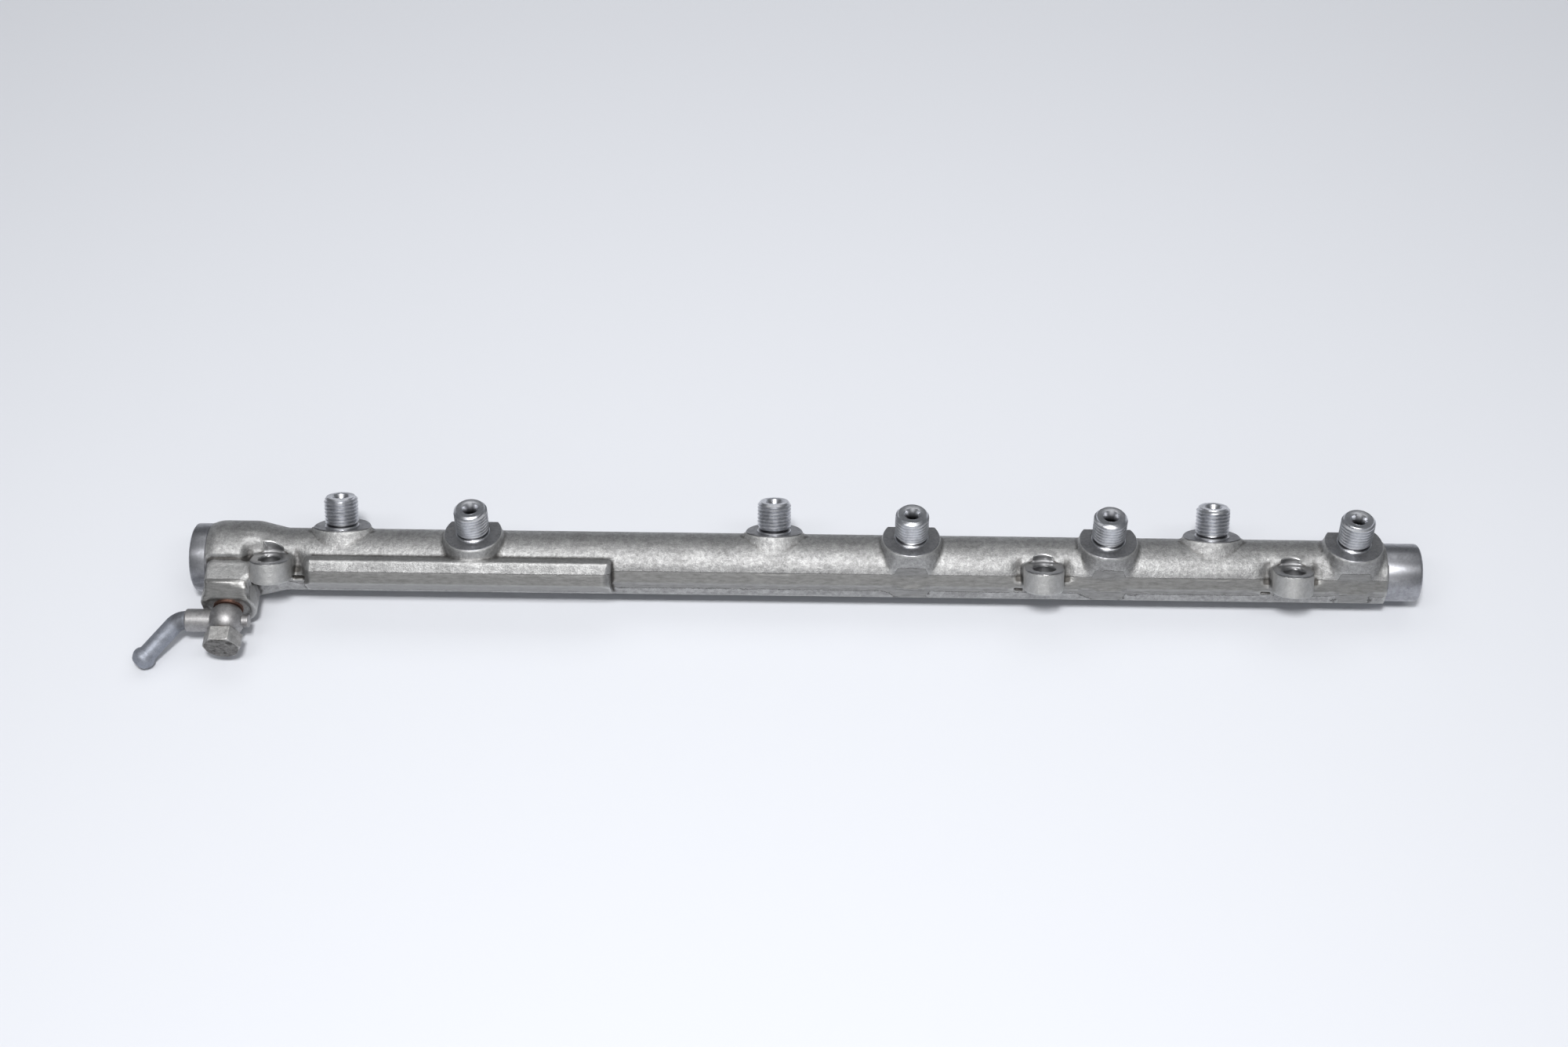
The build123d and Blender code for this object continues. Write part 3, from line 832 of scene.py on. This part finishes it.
# Heights over the rail's axis and radii in mm, and the pipe's way in mm and degrees
RETURN_EYE = 31.2
EYE_RADIUS = 7.5
EYE_HALF = 5.45
EYE_SOCKET = 5.1
EYE_NUB = 2.95
HEAD_SEAT = 37.8
HEAD_HEIGHT = 6.9
SOCKET_REACH = 16.6
PIPE = 3.85
PIPE_WALL = 1.2
PIPE_INSET = 7.0
PIPE_DROP = 161.5
PIPE_BEND = 7.5
PIPE_TURN = 48.0
PIPE_RUN = 16.0
BEND_STEPS = 16
BEAD = 4.85

# Dents on the bolt's head: place along the rail, height, place across, width and depth
DENTS = (
    (4.0, HEAD_HEIGHT, -4.2, 2.2, 0.55),
    (-3.4, HEAD_HEIGHT, 2.2, 1.8, 0.35),
    (0.8, HEAD_HEIGHT, 3.4, 1.5, 0.3),
    (-1.0, HEAD_HEIGHT, -1.6, 2.0, 0.2),
)


def make_eye():
    """The banjo eye, rounded to a true ball between its two faces, the socket and the nub."""
    bm = remeshed(node_copy("banjo_eye"), 0.16)
    centre = spot(RETURN_STATION, RETURN_ANGLE, RETURN_EYE)
    for vert in bm.verts:
        way = (vert.co - centre) / MM
        beside = hypot(way.y, way.z)
        off_socket = beside > EYE_SOCKET or way.x > 0
        off_nub = beside > EYE_NUB or way.x < 0
        # The bands of the solid lie within half a millimetre of the ball
        if 7.1 < way.length < 7.7 and off_socket and off_nub:
            if abs(way.dot(across(RETURN_ANGLE))) < EYE_HALF:
                vert.co = centre + way.normalized() * EYE_RADIUS * MM
    soften(bm, bm.verts[:], 0.5, 4)
    piece("banjo_ball", bm, PLATED, ("banjo_eye",))


def make_bolt():
    """Hollow bolt with worn corners and dents on its head; the head's end face and the dents are coloured
    darker.
    """
    bm = remeshed(node_copy("banjo_bolt"), 0.17)
    soften(bm, bm.verts[:], 0.5, 3)
    bm.normal_update()
    darkening = bm.verts.layers.float.new("hollow")
    head = across(RETURN_ANGLE)
    centre = spot(RETURN_STATION, RETURN_ANGLE, HEAD_SEAT)
    for vert in bm.verts:
        way = (vert.co - centre) / MM
        height = way.dot(head)
        if height < 0.1:
            continue
        rough = noise.noise(vert.co / MM * 0.55) * 0.10 + noise.noise(vert.co / MM * 1.6) * 0.05
        for x, z, side, wide, deep in DENTS:
            place = Vector((x, 0, 0)) + head * z + across(RETURN_ANGLE + 90) * side
            rough -= deep * max(0.0, 1 - (way - place).length / wide) ** 1.5
        vert.co += vert.normal * rough * MM
        # The head's end face and its dents are coloured darker
        vert[darkening] = clamp((height - 6.2) * 2) * 0.75 + clamp(-rough - 0.12) * 2.0
    piece("bolt", bm, DULL, ("banjo_bolt",))


def make_pipe():
    """Hose pipe, turned straight with its bead and then bent."""
    bm = bmesh.new()
    arc = PIPE_BEND * radians(PIPE_TURN)
    bead = arc + PIPE_RUN
    inside = PIPE - PIPE_WALL
    outer = [(PIPE, -PIPE_INSET), (PIPE, 0.0)]
    outer += [(PIPE, arc * step / BEND_STEPS) for step in range(1, BEND_STEPS + 1)]
    outer += [(PIPE, bead - 0.9), (PIPE + 0.2, bead - 0.2), (BEAD - 0.25, bead + 0.6), (BEAD, bead + 1.5),
              (BEAD, bead + 2.3), (BEAD - 0.2, bead + 3.2), (PIPE + 0.2, bead + 4.3),
              (PIPE - 0.35, bead + 5.2), (PIPE - 0.9, bead + 5.6)]
    inner = [(inside, bead + 5.4), (inside, bead)]
    inner += [(inside, arc * step / BEND_STEPS) for step in range(BEND_STEPS, -1, -1)]
    inner += [(inside, -PIPE_INSET)]
    lathe(bm, outer + inner, 64, closed=True)
    outward(bm)
    stain = bm.verts.layers.float.new("hollow")
    ahead, drop = Vector((-1, 0, 0)), across(PIPE_DROP)
    beside = ahead.cross(drop)
    start = spot(RETURN_STATION, RETURN_ANGLE, RETURN_EYE) / MM + ahead * SOCKET_REACH
    for vert in bm.verts:
        x, y, run = vert.co
        vert[stain] = 0.62 * clamp(1.2 - abs(run - 0.4 * arc) / 6)
        turn = clamp(run / arc) * radians(PIPE_TURN)
        lead = ahead * cos(turn) + drop * sin(turn)
        away = ahead * sin(turn) - drop * cos(turn)
        past = run - arc if run > arc else min(run, 0.0)
        vert.co = (start + drop * PIPE_BEND + away * (PIPE_BEND + y) + beside * x + lead * past) * MM
    bm.normal_update()
    piece("hose_pipe", bm, PIPE_STEEL, ("return_pipe",))


make_forging()
for number, (distance, angle, flat) in enumerate(sorted(port_list()), 1):
    make_spigot(f"spigot_{number}", distance, angle, flat, number * 47)
make_turned_ends()
make_eye()
make_bolt()
make_pipe()
for node in ("inner_ring", "outer_ring"):
    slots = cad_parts[node].data.materials
    slots.clear()
    slots.append(COPPER)


# ---------- floor, light and camera ----------

def make_floor():
    bm = bmesh.new()
    bmesh.ops.create_grid(bm, x_segments=1, y_segments=1, size=3.0)
    floor = new_object("floor", new_mesh("floor", bm))
    material = bpy.data.materials.new("floor")
    material.use_nodes = True
    shader = material.node_tree.nodes["Principled BSDF"]
    shader.inputs["Base Color"].default_value = (0.73, 0.745, 0.785, 1)
    shader.inputs["Roughness"].default_value = 0.9
    shader.inputs["Specular IOR Level"].default_value = 0.1
    floor.data.materials.append(material)


def add_softbox(name, place, target, size, power):
    """A rectangular area light in metres and watts, turned to a target."""
    light = bpy.data.lights.new(name, "AREA")
    light.shape = "RECTANGLE"
    light.size, light.size_y = size
    light.energy = power
    obj = new_object(name, light)
    obj.location = place
    obj.rotation_euler = (Vector(target) - Vector(place)).to_track_quat("-Z", "Y").to_euler()


def make_light():
    """A small key light for crisp shadows, a wide strip for the long highlights, and two soft fills."""
    world = bpy.data.worlds.new("studio")
    world.use_nodes = True
    background = world.node_tree.nodes["Background"]
    background.inputs["Color"].default_value = (0.90, 0.94, 1.0, 1)
    background.inputs["Strength"].default_value = 0.17
    bpy.context.scene.world = world
    add_softbox("key", (-0.02, -0.49, 1.22), (0, 0, 0), (0.16, 0.16), 11.4)
    add_softbox("strip", (0.0, -0.46, 1.22), (0, 0, 0), (1.7, 0.16), 5.8)
    add_softbox("back_fill", (0.0, 0.62, 1.15), (0, 0, 0.02), (1.7, 0.75), 3.2)
    add_softbox("front_fill", (0.0, -1.4, 0.55), (0, 0, 0.02), (1.6, 0.7), 2.8)


def make_camera():
    """Camera at the place, turn and focal length that were fitted to the photo."""
    camera = bpy.data.cameras.new("camera")
    camera.sensor_width = 36.0
    camera.lens = 50.158
    obj = new_object("camera", camera)
    obj.location = (0.0229, -0.52078, 0.76928)
    obj.rotation_euler = (radians(36.466), radians(0.571), radians(1.305))
    bpy.context.scene.camera = obj


make_floor()
make_light()
make_camera()
bpy.context.scene.view_settings.view_transform = "Standard"
